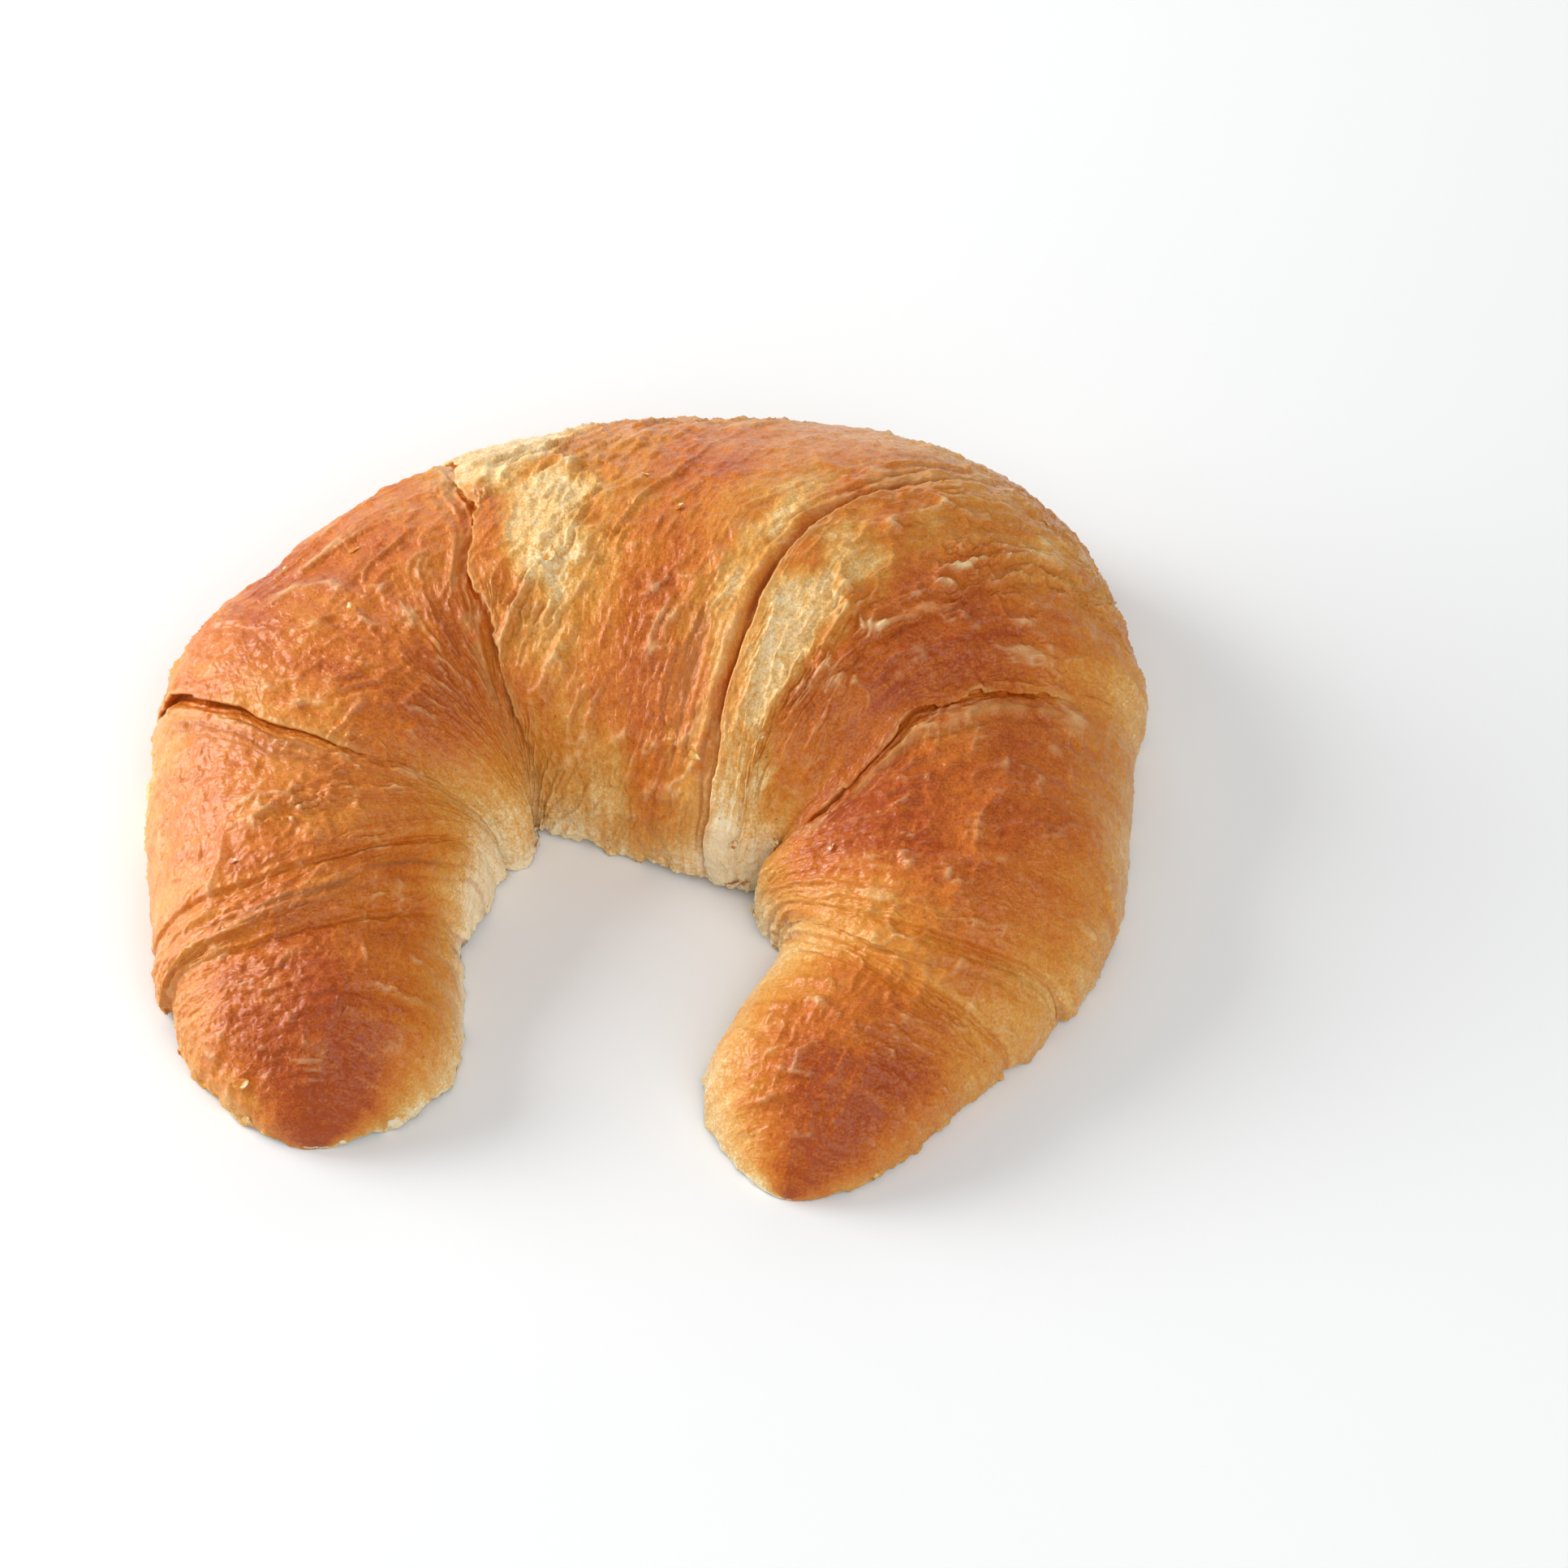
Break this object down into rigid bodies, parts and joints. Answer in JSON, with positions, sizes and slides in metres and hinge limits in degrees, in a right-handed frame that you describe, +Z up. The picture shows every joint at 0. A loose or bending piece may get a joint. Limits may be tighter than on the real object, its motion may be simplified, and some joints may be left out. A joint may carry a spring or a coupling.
{
  "type": "croissant top half",
  "caption": "Top half of a butter croissant split level with a knife: a curved roll of lapped dough turns, glazed crust above and a flat open crumb face below.",
  "frame": {"origin": "centre of the overall width and depth, on the flat cut face", "axes": "+Z up from the cut face, +Y from the horns towards the back of the crescent, +X towards the right-hand horn"},
  "size_m": [0.1298, 0.1201, 0.0315],
  "materials": {
    "baked_pastry": "satin"
  },
  "bodies": {
    "root": {"croissant_top_half": "baked_pastry"}
  },
  "joints": []
}
